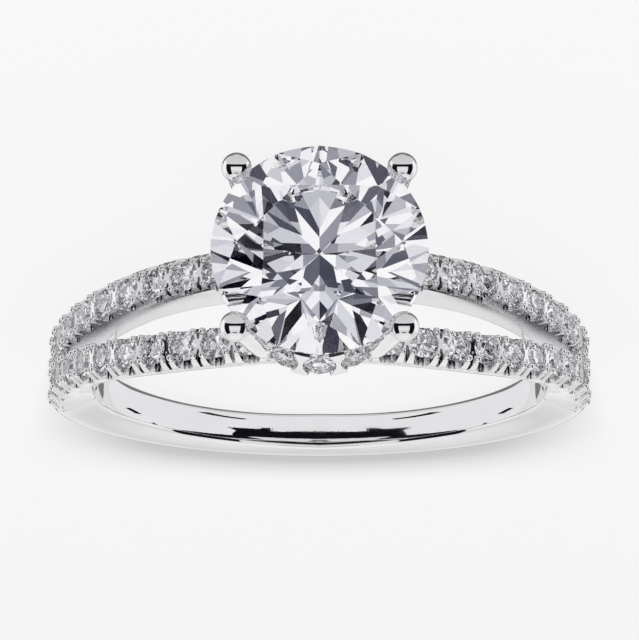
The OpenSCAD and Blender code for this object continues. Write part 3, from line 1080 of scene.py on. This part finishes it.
class RING_OT_studio(bpy.types.Operator):
    """Sets the floor, the light, the cards and the camera"""

    bl_idname = "ring.studio"
    bl_label = "Studio"

    def execute(self, context):
        self.floor()
        self.light()
        self.cards()
        self.stone_sky()
        self.hole_card()
        self.gap_cards()
        self.camera()
        context.scene.view_settings.view_transform = "Standard"
        cycles = context.scene.cycles
        cycles.max_bounces = 24
        cycles.transmission_bounces = 24
        cycles.glossy_bounces = 16
        cycles.caustics_reflective = False
        cycles.caustics_refractive = False
        return {"FINISHED"}

    def floor(self):
        """A white floor that the camera sees and the ring doesn't."""
        bm = bmesh.new()
        bmesh.ops.create_grid(bm, x_segments=1, y_segments=1, size=FLOOR_HALF)
        floor = add_object("floor", to_mesh(bm, "floor"))
        material = glow_material("white_floor", (1, 1, 1))
        shader = material.node_tree.nodes["Principled BSDF"]
        set_inputs(shader, {"Base Color": (*settings().colours.floor, 1), "Roughness": 1,
                            "Emission Strength": FLOOR_GLOW})
        floor.data.materials.append(material)
        floor.visible_glossy = False
        floor.visible_transmission = False

    def light(self):
        """A soft surround, lighter below the picture, and a low lamp for the shadow."""
        centre, towards, upward = view_axes()
        world = bpy.data.worlds.new("surround")
        world.use_nodes = True
        bpy.context.scene.world = world
        tree = world.node_tree
        background = tree.nodes["Background"]
        coords = node_of(tree, "ShaderNodeTexCoord", -900, 0)
        height = node_of(tree, "ShaderNodeVectorMath", -700, 0, operation="DOT_PRODUCT")
        set_inputs(height, {1: upward})
        tone = ramp(tree, -450, 0, (0, (SURROUND[0][1],) * 3), (1, (SURROUND[-1][1],) * 3))
        for at, shade in SURROUND[1:-1]:
            tone.color_ramp.elements.new(at).color = (shade, shade, shade, 1)
        half = node_of(tree, "ShaderNodeMath", -600, 0, operation="MULTIPLY_ADD")
        set_inputs(half, {1: 0.5, 2: 0.5})
        link(coords, "Generated", height, 0)
        link(height, "Value", half, 0)
        link(half, 0, tone, "Fac")
        link(tone, "Color", background, "Color")
        lamp = bpy.data.lights.new("low_lamp", "AREA")
        lamp.shape = "RECTANGLE"
        lamp.size, lamp.size_y = LAMP["size"]
        lamp.energy = LAMP["power"]
        key = add_object("low_lamp", lamp)
        key.location = centre + Vector(LAMP["place"])
        key.rotation_mode = "QUATERNION"
        key.rotation_quaternion = (key.location - centre).to_track_quat("Z", "Y")
        key.visible_glossy = False
        key.visible_transmission = False
        blockers = bpy.data.collections.new("shadow_casters")
        blockers.objects.link(bpy.data.objects["plain_shank"])
        key.light_linking.blocker_collection = blockers

    def cards(self):
        """Cards round the ring, each over a range of angles across and up the picture."""
        for name, (tone, patches) in CARDS.items():
            material = glow_material(name, tone)
            bm = bmesh.new()
            for from_across, to_across, from_up, to_up in patches:
                patch = bmesh.ops.create_grid(bm, x_segments=16, y_segments=8, size=0.5)
                for vert in patch["verts"]:
                    across = math.radians(mix(from_across, to_across, vert.co.x + 0.5))
                    up = math.radians(mix(from_up, to_up, vert.co.y + 0.5))
                    vert.co = sky_place(across, up, CARDS_FAR)
            stage_card(name, bm, material)

    def stone_sky(self):
        """A sky of light and dark panels that only the stones show, darker round the camera."""
        turns = 360 // SKY["step"]
        levels = 180 // SKY["step"]
        bm = bmesh.new()
        bmesh.ops.create_grid(bm, x_segments=turns, y_segments=levels, size=0.5)
        paint = bm.loops.layers.float_color.new("tone")
        for face in bm.faces:
            middle = face.calc_center_median()
            i = int((middle.x + 0.5) * turns)
            j = int((middle.y + 0.5) * levels)
            across = (i + 0.5) * SKY["step"] - 180 + SKY["across"]
            up = (j + 0.5) * SKY["step"] - 90 + SKY["up"]
            tone = self.panel_tone(i, j, math.hypot((across + 180) % 360 - 180, up))
            for loop in face.loops:
                loop[paint] = tone
        for vert in bm.verts:
            across = math.radians(360 * vert.co.x + SKY["across"])
            up = math.radians(min(max(180 * vert.co.y + SKY["up"], -90), 90))
            vert.co = sky_place(across, up, SKY_FAR)
        material = glow_material("stone_sky", (1, 1, 1))
        tree = material.node_tree
        shader = tree.nodes["Principled BSDF"]
        painted = node_of(tree, "ShaderNodeAttribute", -300, 0, attribute_name="tone")
        link(painted, "Color", shader, "Emission Color")
        set_inputs(shader, {"Emission Strength": SKY["glow"]})
        stage_card("stone_sky", bm, material, for_stones=True)

    def panel_tone(self, i, j, from_camera):
        """The colour of one panel of the sky, from white to slate and nearly black."""
        last = SKY["tones"] - 1
        i, j = i + 1, j + 1
        k = (10 * i * i + 12 * j * j + 9 * i * j + 5 * (i + j)) % SKY["tones"]
        k = min(k + 2, last) if from_camera < SKY["dark_near"] else max(k - 1, 0)
        shown = max(0.98 - 0.97 * (k / last) ** 2.4, 0.04)
        cool = 0.06 * k / last
        return ((shown - cool / 2) ** 2.2, (shown - cool / 2) ** 2.2, (shown + cool / 2) ** 2.2, 1)

    def hole_card(self):
        """A light card with dark ones in the finger hole, which the inside of the shank reflects."""
        bm = bmesh.new()
        for outline in HOLE_CARDS:
            for side in (-1, 1):
                verts = [bm.verts.new((side * x * MM, y * MM, HOLE_CARD_Z * MM)) for x, y in outline]
                bmesh.ops.contextual_create(bm, geom=verts)
        bmesh.ops.triangulate(bm, faces=bm.faces[:])
        stage_card("hole_card", bm, glow_material("hole_card", settings().colours.card))
        bm = bmesh.new()
        middle = Vector((HOLE["pos_m"][0], HOLE["pos_m"][1], HOLE_CARD_Z * MM * 0.5))
        bmesh.ops.create_circle(bm, cap_ends=True, segments=64, radius=LIGHT_CARD_R * MM,
                                matrix=Matrix.Translation(middle))
        stage_card("light_hole_card", bm, glow_material("light_hole_card", settings().colours.hole))

    def gap_cards(self):
        """A light card close over each saddle, which keeps the narrow ends of the gap bright."""
        plan = Plan()
        laid = lying()
        bm = bmesh.new()
        for hand in (-1, 1):
            patch = bmesh.ops.create_grid(bm, x_segments=24, y_segments=1, size=0.5)
            for vert in patch["verts"]:
                th = mix(plan.saddle_from, plan.gap_end, vert.co.x + 0.5)
                depth = plan.saddle_depth(th) - GAP_CARD["over"]
                width = 2 * plan.gap_wall(th, depth) * GAP_CARD["width"]
                vert.co = laid @ place(hand * th, plan.top_r(th) - depth, vert.co.y * width)
        stage_card("gap_cards", bm, glow_material("gap_cards", settings().colours.gap))

    def camera(self):
        studio = settings().studio
        centre, towards, upward = view_axes()
        camera = add_object("camera", bpy.data.cameras.new("camera"))
        camera.data.lens = studio.focal / 640 * camera.data.sensor_width
        camera.data.clip_start = 0.001
        turn = Matrix((upward.cross(towards), upward, towards)).transposed()
        camera.rotation_mode = "QUATERNION"
        camera.rotation_quaternion = turn.to_quaternion()
        camera.location = centre + towards * studio.distance + upward * studio.rise
        bpy.context.scene.camera = camera


class RING_PT_panel(bpy.types.Panel):
    """Lists the ring's pieces in the sidebar"""

    bl_idname = "RING_PT_panel"
    bl_label = "Ring"
    bl_space_type = "VIEW_3D"
    bl_region_type = "UI"
    bl_category = "Ring"

    def draw(self, context):
        for step in STEPS:
            self.layout.operator(step.bl_idname)


class RingSettings(bpy.types.PropertyGroup):
    """Everything a user can change"""

    shank: PointerProperty(type=ShankSizes)
    stones: PointerProperty(type=StoneSizes)
    head: PointerProperty(type=HeadSizes)
    colours: PointerProperty(type=RingColours)
    studio: PointerProperty(type=StudioSizes)


STEPS = (RING_OT_split_bands, RING_OT_plain_shank, RING_OT_collar, RING_OT_prongs, RING_OT_centre_stone,
         RING_OT_pave, RING_OT_halo, RING_OT_studio)
CLASSES = (ShankSizes, StoneSizes, HeadSizes, RingColours, StudioSizes, RingSettings, *STEPS, RING_PT_panel)


def register():
    for made in CLASSES:
        bpy.utils.register_class(made)
    bpy.types.Scene.ring_settings = PointerProperty(type=RingSettings)


def unregister():
    del bpy.types.Scene.ring_settings
    for made in reversed(CLASSES):
        bpy.utils.unregister_class(made)


def main():
    register()
    for step in STEPS:
        group, name = step.bl_idname.split(".")
        getattr(getattr(bpy.ops, group), name)()
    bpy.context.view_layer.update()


if __name__ == "__main__":
    main()
